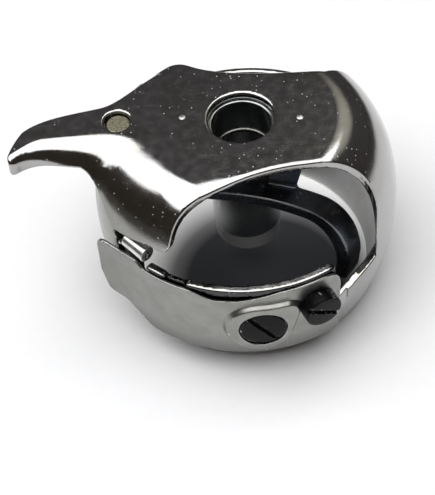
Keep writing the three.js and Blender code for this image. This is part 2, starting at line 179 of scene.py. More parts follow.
def net(field, low, high, step):
    """A closed mesh of field = 0: a surface net, whose vertices are then moved onto the surface."""
    low = np.array(low, float) - 2 * step
    high = np.array(high, float) + 2 * step
    coarse = 4
    cells = np.ceil((high - low) / (step * coarse)).astype(int)
    axes = [low[i] + step * coarse * (np.arange(cells[i]) + 0.5) for i in range(3)]
    gx, gy, gz = np.meshgrid(*axes, indexing="ij")
    rough = field(gx.ravel(), gy.ravel(), gz.ravel()).reshape(gx.shape)
    near = np.abs(rough) < step * coarse * 1.6
    values = np.repeat(np.repeat(np.repeat(rough, coarse, 0), coarse, 1), coarse, 2).astype(np.float32)
    mask = np.repeat(np.repeat(np.repeat(near, coarse, 0), coarse, 1), coarse, 2)
    i, j, k = np.nonzero(mask)
    for start in range(0, len(i), 400000):
        part = slice(start, start + 400000)
        x, y, z = low[0] + i[part] * step, low[1] + j[part] * step, low[2] + k[part] * step
        values[i[part], j[part], k[part]] = field(x, y, z)
    inside = values < 0
    nx, ny, nz = values.shape
    corners = list(itertools.product((0, 1), repeat=3))
    some = np.zeros((nx - 1, ny - 1, nz - 1), bool)
    every = np.ones_like(some)
    for a, b, c in corners:
        here = inside[a:nx - 1 + a, b:ny - 1 + b, c:nz - 1 + c]
        some |= here
        every &= here
    active = some & ~every
    ci, cj, ck = np.nonzero(active)
    number = np.full(active.shape, -1, np.int64)
    number[ci, cj, ck] = np.arange(len(ci))
    total = np.zeros((len(ci), 3))
    count = np.zeros(len(ci))
    for a, b in itertools.combinations(corners, 2):
        if sum(abs(p - q) for p, q in zip(a, b)) != 1:
            continue
        va = values[ci + a[0], cj + a[1], ck + a[2]].astype(float)
        vb = values[ci + b[0], cj + b[1], ck + b[2]].astype(float)
        crosses = (va < 0) != (vb < 0)
        t = np.where(crosses, va / np.where(crosses, va - vb, 1), 0)
        where = np.array(a)[None, :] + t[:, None] * (np.array(b) - np.array(a))[None, :]
        total += where * crosses[:, None]
        count += crosses
    verts = low + step * (np.stack([ci, cj, ck], 1) + total / count[:, None])
    faces = []
    for axis in range(3):
        one, two = (axis + 1) % 3, (axis + 2) % 3
        here = [slice(1, -1)] * 3
        here[axis] = slice(0, -1)
        there = list(here)
        there[axis] = slice(1, None)
        a, b = inside[tuple(here)], inside[tuple(there)]
        for sign, found in ((1, a & ~b), (-1, ~a & b)):
            e = np.stack(np.nonzero(found), 1)
            e[:, one] += 1
            e[:, two] += 1
            ring = []
            for p, q in ((0, 0), (1, 0), (1, 1), (0, 1)):
                c = e.copy()
                c[:, one] -= 1 - p
                c[:, two] -= 1 - q
                ring.append(number[c[:, 0], c[:, 1], c[:, 2]])
            ring = np.stack(ring, 1)
            faces.append(ring if sign > 0 else ring[:, ::-1])
    faces = np.concatenate(faces)
    for _ in range(3):
        value, slope = field(*verts.T), gradient(field, verts)
        move = value / np.maximum((slope ** 2).sum(1), 0.05)
        move = np.clip(move, -step / 2, step / 2)
        verts = verts - slope * move[:, None]
    normals = gradient(field, verts)
    return verts, faces, normals / np.maximum(np.linalg.norm(normals, axis=1), 1e-9)[:, None]


def build(name, node, field, step, material, body, slot, margin=1.5):
    """Meshes the solid that stands for a CAD node, gives it its material and sets it on its body."""
    low, high = node_box(node)
    verts, faces, normals = net(field, low - AXIS - margin, high - AXIS + margin, step * DETAIL)
    mesh = bpy.data.meshes.new(name)
    mesh.from_pydata(((verts + AXIS) * MM).tolist(), [], faces.tolist())
    mesh.polygons.foreach_set("use_smooth", np.ones(len(faces), bool))
    mesh.normals_split_custom_set_from_vertices(normals.tolist())
    mesh.materials.append(material)
    obj = bpy.data.objects.new(name, mesh)
    bpy.context.scene.collection.objects.link(obj)
    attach(obj, body)
    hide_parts(node)
    return obj


# ------------------------------------------------------------------ the case body


def turned_shell(x, y, z, inset):
    """Distance to the shell's surface of revolution, moved inwards by inset."""
    r = np.hypot(x, y)
    across, up = BARREL - FLAT - inset, HEIGHT - WIDEST - inset
    u = np.maximum(r - FLAT, 0) / across
    v = np.maximum(z - WIDEST, 0) / up
    size = np.maximum(np.hypot(u, v), 1e-3)
    steep = np.hypot(u / size / across, v / size / up)
    shoulder = (size - 1) / np.maximum(steep, 0.05)
    drop = np.maximum(WIDEST - z, 0) / WIDEST
    radius = BARREL - (BARREL - RIM) * drop ** RIM_POWER
    lean = RIM_POWER * (BARREL - RIM) * drop ** (RIM_POWER - 1) / WIDEST
    barrel = (r - radius + inset) / np.hypot(1, lean)
    return np.where(z > WIDEST, shoulder, barrel)


HORN_THICKNESS = 1.8
HORN_EDGE = 0.25  # radius of the horn's other edges
HORN_TURN = 1.65  # radius its upper face turns down with towards the front
HORN_TIP = (-19.0, -16.4)  # that radius grows from a share at the first place to all of it at the second
HORN_TIP_TURN = 0.55
HORN_TURN_GROWS = (-17.0, -6.2)  # between these places that turn grows into the shell's shoulder
HORN_ROOT = (-13.5, -8.3)  # and between these the horn's underside runs down into the barrel
HORN_FILLET = 2.2  # blend of its underside into the barrel
HORN_OUTLINE = (
    [(-5.0, 4.6), (-7.25, 5.3)]
    + bezier((-7.25, 5.3), (-9.3, 3.7), (-10.6, 1.6), (-12.05, 1.18), steps=12)
    + bezier((-12.05, 1.18), (-14.5, 0.45), (-17.0, -0.05), (-18.4, -1.6), steps=12)
    + bezier((-18.4, -1.6), (-19.0, -2.7), (-19.3, -4.2), steps=8)
    + bezier((-19.3, -4.2), (-19.35, -5.25), (-18.5, -5.05), steps=8)
    + [(-18.5, -5.05), (-18.0, -8.0), (-5.0, -16.0)]
)
HORN_MEETS = 207.0  # degrees round the barrel where the horn's front edge has run into it
HORN_MEETS_OVER = 8.0  # degrees over which the edge becomes the barrel's own circle
HORN_FRONT = (
    [(-REACH, -5.4), (-18.9, -5.2)]
    + bezier((-18.9, -5.2), (-17.3, -3.6), (-15.6, -3.85), (-13.7, -4.55), steps=14)
    + bezier((-13.7, -4.55), (-12.5, -5.0), (-12.1, -5.3), polar(BARREL, HORN_MEETS), steps=10)
    + [polar(BARREL, HORN_MEETS + 2 * i) for i in range(1, 32)]
    + [(REACH, -BARREL), (REACH, REACH), (-REACH, REACH)]
)
HORN_HOLE = (-10.45, -0.45)
HORN_HOLE_RADIUS = 1.155


def turned_over(inset, reach, drop):
    """How far a face has turned down at a place that is inset from its edge."""
    t = np.clip(1 - inset / reach, 0, 1)
    return drop * (1 - np.sqrt(1 - 0.999 * t * t))


def horn(x, y, z):
    """The horn, whose turned front runs on as the shoulder of the shell."""
    turned = smooth((np.degrees(np.arctan2(y, x)) % 360 - HORN_MEETS) / HORN_MEETS_OVER)
    edge = -outline_distance(HORN_FRONT, x, y)
    edge += turned * (BARREL - np.hypot(x, y) - edge)
    root = smooth((x - HORN_ROOT[0]) / (HORN_ROOT[1] - HORN_ROOT[0]))
    grown = smooth((x - HORN_TURN_GROWS[0]) / (HORN_TURN_GROWS[1] - HORN_TURN_GROWS[0]))
    tip = smooth((x - HORN_TIP[0]) / (HORN_TIP[1] - HORN_TIP[0]))
    turn = HORN_TURN * (HORN_TIP_TURN + (1 - HORN_TIP_TURN) * tip)
    across = turn + grown * (BARREL - FLAT - turn)
    up = turn + grown * (HEIGHT - WIDEST - turn)
    u = np.maximum(across - edge, 0) / across
    v = np.maximum(z - HEIGHT + up, 0) / up
    size = np.maximum(np.hypot(u, v), 1e-3)
    steep = np.hypot(u / size / across, v / size / up)
    face = (size - 1) / np.maximum(steep, 0.05)
    face = round_max(face, outline_distance(HORN_OUTLINE, x, y), HORN_EDGE)
    low = HEIGHT - HORN_THICKNESS - (HEIGHT - HORN_THICKNESS - WIDEST) * root
    return round_max(face, low - z, HORN_EDGE)


TONGUE_TOP = 11.3
MILLED_SIDE = 11.35  # x of the flat that ends the front opening at the right
FRONT_LEFT = -117.0
FRONT_OUTLINE = (
    bezier((-5.95, -11.9), (-5.35, -9.9), (-4.6, -9.6), (-2.95, -8.7), steps=12)
    + bezier((-2.95, -8.7), (-0.8, -7.5), (1.4, -5.9), (5.1, -5.3), steps=14)
    + bezier((5.1, -5.3), (6.5, -5.1), (8.2, -4.7), (9.6, -4.7), steps=8)
    + bezier((9.6, -4.7), (MILLED_SIDE, -4.7), (MILLED_SIDE, -5.7), steps=8)
    + [(MILLED_SIDE, -5.7), (MILLED_SIDE, -REACH), polar(REACH, FRONT_LEFT)]
)
BACK_LEFT, BACK_RIGHT, BACK_LOW = 132.0, 39.0, 11.2
BACK_OUTLINE = (
    bezier((6.9, 5.6), (3.2, 5.3), (-1.6, 4.9), (-4.5, 6.1), steps=24)
    + bezier((-4.5, 6.1), (-5.7, 6.7), (-6.7, 6.5), (-7.4, 5.75), steps=10)
    + [(-7.4, 5.75), polar(REACH, BACK_LEFT), (0, REACH), polar(REACH, BACK_RIGHT)]
)
ROUND_R = BARREL - WALL / 2  # radius that lengths round the wall are measured at


def round_wall(degrees):
    return math.radians(degrees) * ROUND_R


TONGUE_LEFT, TONGUE_RIGHT = -127.3, -51.3
SLOT_LEFT, SLOT_HIGH, SLOT_MOUTH = -143.5, 13.0, 13.65
NOTCH_LEFT, NOTCH_LOW = -130.6, 9.8
RIGHT_SIDE_OUTLINE = rounded([
    (round_wall(-10), 8.6, 0),
    (round_wall(-10), 14.0, 0),
    (round_wall(TONGUE_RIGHT - 12), 14.0, 0),
    (round_wall(TONGUE_RIGHT - 12), TONGUE_TOP, 0),
    (round_wall(TONGUE_RIGHT), TONGUE_TOP, 0.9),
    (round_wall(TONGUE_RIGHT), 6.3, 0.5),
    (round_wall(-40), 7.55, 1.5),
    (round_wall(-27), 7.95, 1.0),
])
SLOT_OUTLINE = rounded([
    (round_wall(-112), TONGUE_TOP, 0),
    (round_wall(-112), SLOT_MOUTH, 0),
    (round_wall(-127), SLOT_MOUTH, 0.8),
    (round_wall(SLOT_LEFT), SLOT_HIGH, 0.35),
    (round_wall(SLOT_LEFT), TONGUE_TOP, 0.25),
    (round_wall(NOTCH_LEFT), TONGUE_TOP, 0.1),
    (round_wall(NOTCH_LEFT), NOTCH_LOW, 0.15),
    (round_wall(TONGUE_LEFT), NOTCH_LOW, 0.15),
    (round_wall(TONGUE_LEFT), TONGUE_TOP, 0.35),
])
SEAT_RADIUS = 12.8
SEAT_OUTLINE = rounded([
    (round_wall(-46), 1.4, 0.3),
    (round_wall(-46), 11.02, 0.3),
    (round_wall(-72), 11.02, 1.0),
    (round_wall(-84), 10.68, 1.0),
    (round_wall(-98), 10.68, 1.0),
    (round_wall(-108), 11.02, 1.0),
    (round_wall(-128), 11.02, 0.3),
    (round_wall(-130), 11.7, 0.3),
    (round_wall(-142), 11.7, 0.3),
    (round_wall(-142), 1.4, 0.3),
])
FACE_HOLE = 2.8
FRONT_TURN = (1.6, 0.45)  # how the face plate turns over along its front edge, at the left
FRONT_TURN_FADES = (-4.0, 1.0)  # between these places the turn-over shrinks to its share at the right
FRONT_TURN_RIGHT = 0.28
HORN_ENDS = -4.6  # right of this the horn has no part in the shell
SHOULDER_CUT = [  # the shell's shoulder is lower inside this outline, behind the horn
    (-5.9, 6.5), (-7.25, 5.4), (-9.3, 3.2), (-11.5, 0.8), (-22, 3), (-22, 20), (-5.9, 20),
]
SHOULDER_LOW = 14.4
SHOULDER_INSET = 0.25  # the lowering stays this far inside its outline and clear of the horn


def case_body(x, y, z):
    outer = turned_shell(x, y, z, 0)
    left = x < HORN_ENDS
    if left.any():
        root = smooth((x[left] - HORN_ROOT[0]) / (HORN_ROOT[1] - HORN_ROOT[0]))
        blend = HORN_FILLET * (1 - root) * smooth((HEIGHT - z[left]) / 1.4)
        outer[left] = soft_min(outer[left], horn(x[left], y[left], z[left]), blend)
    body = round_max(outer, -turned_shell(x, y, z, WALL), 0.1)
    body = round_max(body, -z, 0.25)
    near = np.abs(body) < 1.5
    x, y, z, found = x[near], y[near], z[near], body[near]
    r = np.hypot(x, y)
    turn = np.arctan2(y, x) * ROUND_R
    front = outline_distance(FRONT_OUTLINE, x, y)
    fade = smooth((x - FRONT_TURN_FADES[0]) / (FRONT_TURN_FADES[1] - FRONT_TURN_FADES[0]))
    taper = 1 - (1 - FRONT_TURN_RIGHT) * fade
    reach, drop = FRONT_TURN
    found = np.maximum(found, z - HEIGHT + turned_over(front, reach * taper, drop * taper))
    right_side = np.maximum(front, outline_distance(RIGHT_SIDE_OUTLINE, turn, z))
    slot = np.maximum(outline_distance(SLOT_OUTLINE, turn, z), 9 - r)
    opening = round_min(np.maximum(front, TONGUE_TOP - z), slot, 0.9)
    found = round_max(found, -np.minimum(opening, right_side), 0.16)
    back = round_max(outline_distance(BACK_OUTLINE, x, y), BACK_LOW - z, 1.5)
    found = round_max(found, -back, 0.3)
    behind = outline_distance(SHOULDER_CUT, x, y) + SHOULDER_INSET
    behind = round_max(behind, SHOULDER_LOW - z, 0.6)
    behind = np.maximum(behind, SHOULDER_INSET - outline_distance(HORN_OUTLINE, x, y))
    found = round_max(found, -behind, 0.2)
    seat = np.maximum(outline_distance(SEAT_OUTLINE, turn, z), SEAT_RADIUS - r)
    found = round_max(found, -seat, 0.05)
    found = round_max(found, FACE_HOLE - r, 0.22)
    hole = HORN_HOLE_RADIUS - np.hypot(x - HORN_HOLE[0], y - HORN_HOLE[1])
    found = round_max(found, hole, 0.16)
    body[near] = found
    return body


# ------------------------------------------------------------------ tension spring and its screws

LEAF_IN, LEAF_OUT = 12.92, 13.22
LEAF_LEAVES = -126.5  # where the leaf leaves the barrel in a straight line
LEAF_OUTLINE = rounded([
    (9.28, 10.95, 2.1),
    (8.8, 3.1, 0.4),
    (-8.6, 3.05, 1.5),
    (-11.3, 4.85, 0.8),
    (-13.3, 4.85, 0.6),
    (-14.05, 7.0, 1.5),
    (-14.05, 11.35, 1.0),
    (-9.7, 11.4, 0.4),
    (-8.9, 10.75, 0.5),
    (-4.3, 10.75, 1.5),
    (-2.4, 10.0, 1.5),
    (0.0, 10.12, 2.0),
    (3.5, 10.85, 2.0),
])
TENSION_SCREW = (-81.9, 6.75)  # degrees round the barrel, height
FIXING_SCREW = (-60.6, 8.0)
BOSS_RISE = 0.46
BOSS_SLOPE = 0.4
BOSS_HOLE = 2.08


def leaf_place(x, y):
    """Length along the leaf, from the front middle to the right, and distance from the inside."""
    c, s = math.cos(math.radians(LEAF_LEAVES)), math.sin(math.radians(LEAF_LEAVES))
    beyond = x * s - y * c
    straight = beyond > 0
    angle = np.arctan2(y, x) + math.pi / 2
    start = math.radians(LEAF_LEAVES + 90) * LEAF_OUT
    along = np.where(straight, start - beyond, angle * LEAF_OUT)
    out = np.where(straight, x * c + y * s, np.hypot(x, y))
    return along, out


BOSS_ROUND = (-0.1, -0.05, 2.62)  # right, up, radius of the collar's round part
BOSS_POINT = (2.15, 1.62, 0.95)  # and of its drawn-out point


def boss_outline(right, up):
    """Distance to the raised collar's outline: a round drawn out to a point at the upper right."""
    ax, ay, ar = BOSS_ROUND
    bx, by, br = BOSS_POINT
    length = math.hypot(bx - ax, by - ay)
    dx, dy = (bx - ax) / length, (by - ay) / length
    along = (right - ax) * dx + (up - ay) * dy
    across = np.abs((up - ay) * dx - (right - ax) * dy)
    lean = (ar - br) / length
    level = math.sqrt(1 - lean * lean)
    k = along * level - across * lean
    drawn = across * level + along * lean - ar
    drawn = np.where(k < 0, np.hypot(along, across) - ar, drawn)
    drawn = np.where(k > length * level, np.hypot(along - length, across) - br, drawn)
    bulge = np.hypot(right + 0.7, up - 0.05) - 2.28
    return soft_min(drawn, bulge, 0.5)


def tension_leaf(x, y, z):
    along, out = leaf_place(x, y)
    right, up, _ = on_barrel(x, y, z, *TENSION_SCREW)
    rise = BOSS_RISE * smooth(1 - boss_outline(right, up) / BOSS_SLOPE)
    crease = 0.05 * np.exp(-((along + 2.75) / 0.35) ** 2)
    top = LEAF_OUT + rise - crease
    leaf = round_max(out - top, LEAF_IN - out, 0.06)
    leaf = round_max(leaf, outline_distance(LEAF_OUTLINE, along, z), 0.08)
    hole = BOSS_HOLE - np.hypot(right - 0.02, up + 0.08)
    leaf = round_max(leaf, np.minimum(hole, out - LEAF_OUT - 0.02), 0.06)
    leaf = np.maximum(leaf, 1.2 - np.hypot(right, up))
    fix_right, fix_up, _ = on_barrel(x, y, z, *FIXING_SCREW)
    return np.maximum(leaf, 1.0 - np.hypot(fix_right, fix_up))


def slotted_screw(place, head, shank, low, top, dome, slot_degrees, edge):
    """A screw in the barrel's wall: a domed head with a slot, on a plain shank."""
    tip = 11.7
    slot_half, slot_depth = 0.21, 0.3

    def field(x, y, z):
        right, up, out = on_barrel(x, y, z, *place)
        r = np.hypot(right, up)
        face = out - top + dome * (r / head) ** 2
        found = round_max(round_max(r - head, face, edge), low - out, 0.05)
        found = np.minimum(found, round_max(round_max(r - shank, tip - out, 0.15), out - low - 0.1, 0.02))
        c, s = math.cos(math.radians(slot_degrees)), math.sin(math.radians(slot_degrees))
        cut = np.maximum(np.abs(up * c - right * s) - slot_half, top - slot_depth - out)
        return round_max(found, -cut, 0.05)

    return field


# ------------------------------------------------------------------ anti-spin spring

BOW_TURN = -31.0  # the bow's length runs along this direction
BOW_THICKNESS = 1.05
BOW_FOOT = 16.7
BOW_LOW = 4.95
BOW_BEND = 11.3
BOW_TWIST = 0.9  # how far the band's far edge hangs below its near edge
BOW_LINE = (
    [(-8.0, BOW_FOOT)]
    + bezier((-3.5, BOW_FOOT), (0, 16.4), (2.6, 15.75), (5.4, 15.0), steps=8)
    + bezier((5.4, 15.0), (6.9, 14.4), (8.35, 13.65), steps=4)
    + bezier((8.35, 13.65), (9.9, 12.8), (BOW_BEND, 10.4), (BOW_BEND, 7.2), steps=12)
    + [(BOW_BEND, 7.2), (BOW_BEND - 0.25, BOW_LOW)]
)
BOW_OUTLINE = (
    [(-6.65, 0), (-6.65, -3.4)]
    + bezier((-6.65, -3.4), (-6.65, -6.4), (-3.6, -6.3), steps=8)
    + bezier((-3.6, -6.3), (0, -5.85), (3, -5.9), (9.6, -6.85), steps=14)
    + [(9.6, -6.85), (11.2, -5.3)]
    + bezier((11.2, -5.3), (6.6, -4.2), (4.6, -3.5), (0.6, -3.75), steps=14)
    + bezier((0.6, -3.75), (-3.25, -3.9), (-3.25, -2.2), steps=8)
    + [(-3.25, 0)]
    + bezier((-3.25, 0), (-3.25, 1.7), (-4.95, 1.7), steps=6)
    + bezier((-4.95, 1.7), (-6.65, 1.7), (-6.65, 0), steps=6)
)
EAR_OUTLINE = rounded([(2.3, 14.0, 0), (2.3, 17.0, 0), (5.35, 17.0, 0.2), (4.62, 13.9, 0.3)])
EAR_PLACE = -3.75  # y of the ear's middle
EAR_HALF = 0.25


def anti_spin_bow(x, y, z):
    c, s = math.cos(math.radians(BOW_TURN)), math.sin(math.radians(BOW_TURN))
    u, v = x * c + y * s, y * c - x * s
    across = np.clip((v + 4.3 - 0.53 * (u - 5.4)) / 3.2, 0, 1)
    sag = BOW_TWIST * across * np.clip((10.8 - u) / 5.4, 0, 1)
    edge = BOW_THICKNESS / 2
    middle = offset_line(BOW_LINE, -edge)
    band = line_distance(middle, u, z + sag) - edge
    found = round_max(band, outline_distance(BOW_OUTLINE, x, y), 0.12)
    found = round_max(found, BOW_LOW - z, 0.2)
    ear = round_max(outline_distance(EAR_OUTLINE, x, z), np.abs(y - EAR_PLACE) - EAR_HALF, 0.12)
    return soft_min(found, ear, 0.5)


def offset_line(points, distance):
    """The chain of points moved sideways, to its left for a positive distance."""
    points = np.array(points, float)
    slopes = np.gradient(points, axis=0)
    slopes /= np.linalg.norm(slopes, axis=1)[:, None]
    return points + distance * np.stack([-slopes[:, 1], slopes[:, 0]], 1)


# ------------------------------------------------------------------ post, rivets, ring, pins and roller

POST_RADIUS, POST_BORE = 3.0, 2.5
POST_NOSE = 1.9  # length of the slightly tapered end, which is painted lighter
RING_HEIGHT, RING_RADIUS, RING_WIRE = 14.2, 2.48, 0.225
RIVET_PLACE = 4.95
FLANGE = (6.7, 3.6)
FLANGE_THICKNESS = 0.7


def centre_post(x, y, z):
    low, high = post_low[2], UNDERSIDE - 0.03
    r = np.hypot(x, y)
    taper = 0.12 * smooth((low + POST_NOSE - z) / POST_NOSE)
    tube = round_max(r - POST_RADIUS + taper, low - z, 0.3)
    tube = np.maximum(tube, z - high + 0.2)
    oval = (np.hypot(x / FLANGE[0], y / FLANGE[1]) - 1) * FLANGE[1]
    flange = round_max(oval, np.abs(z - high + FLANGE_THICKNESS / 2) - FLANGE_THICKNESS / 2, 0.15)
    found = round_min(tube, flange, 0.35)
    found = round_max(found, POST_BORE - r, 0.15)
    groove = np.hypot(r - RING_RADIUS, z - RING_HEIGHT) - RING_WIRE - 0.05
    return np.maximum(found, -groove)


def snap_ring(x, y, z):
    angle = np.arctan2(y, x)
    gap = math.radians(25)
    angle = np.where(np.abs(angle) < gap, np.where(angle < 0, -gap, gap), angle)
    px, py = RING_RADIUS * np.cos(angle), RING_RADIUS * np.sin(angle)
    return np.sqrt((x - px) ** 2 + (y - py) ** 2 + (z - RING_HEIGHT) ** 2) - RING_WIRE


def rivet(side, node):
    low = node_box(node)[0][2]

    def field(x, y, z):
        r = np.hypot(x - side * RIVET_PLACE, y)
        shank = round_max(r - 0.4, z - HEIGHT - 0.03 + r * r * 0.4, 0.05)
        shank = np.maximum(shank, low - z)
        head = round_max(r - 0.85, np.abs(z - low - 0.2) - 0.2, 0.18)
        return np.minimum(shank, head)

    return field


PIN_PLACE = (-10.37, -0.42)
PIN_RADIUS = 1.04
PIN_RECESS = 0.36


def horn_pin(x, y, z):
    r = np.hypot(x - PIN_PLACE[0], y - PIN_PLACE[1])
    top = HEIGHT - PIN_RECESS
    return round_max(round_max(r - PIN_RADIUS, z - top, 0.16), top - 2.1 - z, 0.1)


ROLLER_PLACE = (-133.4, 12.3)
ROLLER_RING = 12.5  # distance of the roller's axis from the case's axis


def roller_place(x, y, z):
    right, up, out = on_barrel(x, y, z, *ROLLER_PLACE)
    return right, np.hypot(up, out - ROLLER_RING)


def thread_roller(x, y, z):
    along, r = roller_place(x, y, z)
    sleeve = round_max(r - 0.66, np.abs(along) - 1.25, 0.06)
    collar = round_max(r - 0.71, np.abs(along - 1.16) - 0.09, 0.04)
    return round_max(round_min(sleeve, collar, 0.03), 0.26 - r, 0.03)


def roller_pin(x, y, z):
    along, r = roller_place(x, y, z)
    return round_max(r - 0.21, np.abs(along) - 1.5, 0.08)


# ------------------------------------------------------------------ materials


class Shader:
    """A node material in the making; lengths in its coordinates are millimetres from the post's axis."""

    def __init__(self, name):
        self.material = bpy.data.materials.new(name)
        self.material.use_nodes = True
        self.tree = self.material.node_tree
        self.surface = self.tree.nodes["Principled BSDF"]
        place = self.node("ShaderNodeTexCoord").outputs["Object"]
        self.place = self.vector("MULTIPLY_ADD", place, (1 / MM,) * 3, tuple(-AXIS))

    def put(self, socket, value):
        if isinstance(value, bpy.types.NodeSocket):
            self.tree.links.new(value, socket)
        else:
            socket.default_value = value

    def node(self, kind, inputs=None, **settings):
        made = self.tree.nodes.new(kind)
        for key, value in settings.items():
            setattr(made, key, value)
        for key, value in (inputs or {}).items():
            self.put(made.inputs[key], value)
        return made

    def vector(self, operation, *values):
        return self.node("ShaderNodeVectorMath", dict(enumerate(values)), operation=operation).outputs[0]

    def math(self, operation, *values):
        return self.node("ShaderNodeMath", dict(enumerate(values)), operation=operation).outputs[0]

    def axis(self, name):
        return self.node("ShaderNodeSeparateXYZ", {0: self.place}).outputs[name]

    def stretched(self, scale, turn=(0, 0, 0)):
        """The coordinates turned, then scaled along each axis."""
        inputs = {"Vector": self.place, "Rotation": turn, "Scale": scale}
        return self.node("ShaderNodeMapping", inputs).outputs[0]

    def noise(self, scale, detail=3.0, place=None):
        inputs = {"Vector": place or self.place, "Scale": scale, "Detail": detail}
        return self.node("ShaderNodeTexNoise", inputs).outputs["Fac"]

    def span(self, value, low, high, out_low=0.0, out_high=1.0):
        """The value's span low..high stretched over out_low..out_high, and held there."""
        inputs = {"Value": value, "From Min": low, "From Max": high, "To Min": out_low, "To Max": out_high}
        return self.node("ShaderNodeMapRange", inputs).outputs["Result"]

    def mix(self, factor, first, second):
        made = self.node("ShaderNodeMix", data_type="RGBA")
        self.put(made.inputs[0], factor)
        self.put(made.inputs[6], first)
        self.put(made.inputs[7], second)
        return made.outputs[2]

    def specks(self, scale, size, share):
        """Small round spots scattered at random, in a share of the cells."""
        cells = self.node("ShaderNodeTexVoronoi", {"Vector": self.place, "Scale": scale})
        chosen = self.node("ShaderNodeSeparateColor", {0: cells.outputs["Color"]}).outputs[0]
        spot = self.span(cells.outputs["Distance"], size, size * 0.4)
        return self.math("MULTIPLY", spot, self.math("LESS_THAN", chosen, share))

    def scratches(self, scale, turn, low=0.62, high=0.72):
        """Hairlines that run along one direction."""
        lines = self.noise(1.0, 2.0, self.stretched((scale * 0.04, scale, scale), turn))
        return self.span(lines, low, high)

    def edges(self, low=0.52, high=0.6):
        """One on sharp outer edges."""
        return self.span(self.node("ShaderNodeNewGeometry").outputs["Pointiness"], low, high)

    def add(self, *values):
        total = values[0]
        for value in values[1:]:
            total = self.math("ADD", total, value)
        return total

    def times(self, value, factor):
        return self.math("MULTIPLY", value, factor)

    def bump(self, height, distance, strength=1.0):
        inputs = {"Height": height, "Distance": distance * MM, "Strength": strength}
        return self.node("ShaderNodeBump", inputs).outputs[0]

    def finish(self, color, roughness, metallic, normal=None, **more):
        self.put(self.surface.inputs["Base Color"], color)
        self.put(self.surface.inputs["Roughness"], roughness)
        self.put(self.surface.inputs["Metallic"], metallic)
        if normal:
            self.put(self.surface.inputs["Normal"], normal)
        for key, value in more.items():
            self.put(self.surface.inputs[key.replace("_", " ")], value)
        return self.material


def chromed_steel():
    """Polished plating with pits, dust, hairlines and waves, with painted shade on the left of the wall
    and a painted dark band in front.
    """
    s = Shader("chromed_steel")
    cloud = s.noise(0.35, 4.0)
    color = s.mix(s.span(cloud, 0.45, 0.75), (0.42, 0.417, 0.415, 1), (0.36, 0.35, 0.33, 1))
    # Painted shade: towards its left, the wall below the top is made darker and a little rougher, in place
    # of a darker reflection there.
    wall = s.span(s.axis("Z"), 17.2, 14.0)
    left_painted_shade = s.math("MULTIPLY", wall, s.span(s.add(s.axis("X"), s.times(cloud, 4.0)), -2.0, -9.0))
    color = s.mix(left_painted_shade, color, (0.25, 0.25, 0.23, 1))
    # Painted shade: a dark band on the front of the wall, from z 9.6 up to just under the tongue's top, in
    # place of a dark reflection there.
    below_top = s.span(s.axis("Z"), TONGUE_TOP - 0.02, TONGUE_TOP - 0.12)
    front = s.math("MULTIPLY", s.span(s.axis("Y"), -7.0, -8.5), below_top)
    front_painted_shade = s.math("MULTIPLY", front, s.span(s.axis("Z"), 9.0, 9.6))
    color = s.mix(front_painted_shade, color, (0.07, 0.07, 0.072, 1))
    pits = s.specks(2.6, 0.07, 0.12)
    lines = s.add(s.scratches(9.0, (0, 0, 0.5)), s.scratches(12.0, (0, 0, -0.9), 0.66, 0.74))
    rough = s.span(s.noise(1.3, 5.0), 0.35, 0.7, 0.1, 0.17)
    rough = s.add(rough, s.times(left_painted_shade, 0.1), s.times(pits, 0.2))
    color = s.mix(s.times(pits, 0.5), color, (0.12, 0.11, 0.1, 1))
    dust = s.math("MULTIPLY", s.specks(2.6, 0.19, 0.3), s.span(s.noise(0.25, 2.0), 0.34, 0.52))
    color = s.mix(dust, color, (0.8, 0.8, 0.8, 1))
    metal = s.add(1.0, s.times(dust, -0.8))
    grain = s.times(s.noise(6.0, 3.0), 0.004)
    wave = s.times(s.noise(0.5, 1.0), 0.015)
    height = s.add(wave, grain, s.times(pits, -0.008), s.times(lines, -0.0008))
    return s.finish(color, rough, metal, s.bump(height, 1.0, 1.0))


def satin_spring_steel():
    """Ground sheet with a fine grain along its length, with painted shade towards its lower edge."""
    s = Shader("satin_spring_steel")
    grain = s.noise(1.0, 3.0, s.stretched((3.0, 3.0, 60.0)))
    blotch = s.span(s.noise(0.6, 4.0), 0.35, 0.7)
    color = s.mix(blotch, (0.31, 0.31, 0.295, 1), (0.25, 0.25, 0.235, 1))
    # Painted shade: the leaf darkens towards its lower edge.
    low = s.span(s.add(s.axis("Z"), s.times(blotch, 0.8)), 5.2, 3.0)
    color = s.mix(s.times(low, 0.75), color, (0.1, 0.1, 0.1, 1))
    end = s.span(s.axis("X"), -8.5, -13.0)
    color = s.mix(s.times(end, 0.5), color, (0.14, 0.14, 0.13, 1))
    color = s.mix(s.times(s.edges(), 0.6), color, (0.75, 0.75, 0.73, 1))
    rough = s.add(s.span(grain, 0.3, 0.7, 0.26, 0.4), s.times(s.edges(), -0.08))
    height = s.add(s.times(grain, 0.002), s.times(s.specks(3.0, 0.08, 0.08), -0.01))
    return s.finish(color, rough, 1.0, s.bump(height, 1.0, 1.0))


def blackened_steel():
    """Oil-blackened screw heads, worn bright on the slot's edges."""
    s = Shader("blackened_steel")
    worn = s.times(s.edges(0.53, 0.62), s.span(s.noise(2.2, 4.0), 0.45, 0.6))
    color = s.mix(worn, (0.009, 0.009, 0.01, 1), (0.5, 0.5, 0.5, 1))
    color = s.mix(s.span(s.noise(5.0, 4.0), 0.55, 0.75), color, (0.02, 0.02, 0.021, 1))
    rough = s.span(s.noise(7.0, 4.0), 0.3, 0.7, 0.28, 0.5)
    height = s.add(s.times(s.noise(14.0, 4.0), 0.012), s.times(s.scratches(14.0, (0, 0, 1.1)), -0.004))
    return s.finish(color, rough, 0.9, s.bump(height, 1.0, 1.0), Specular_IOR_Level=0.15)


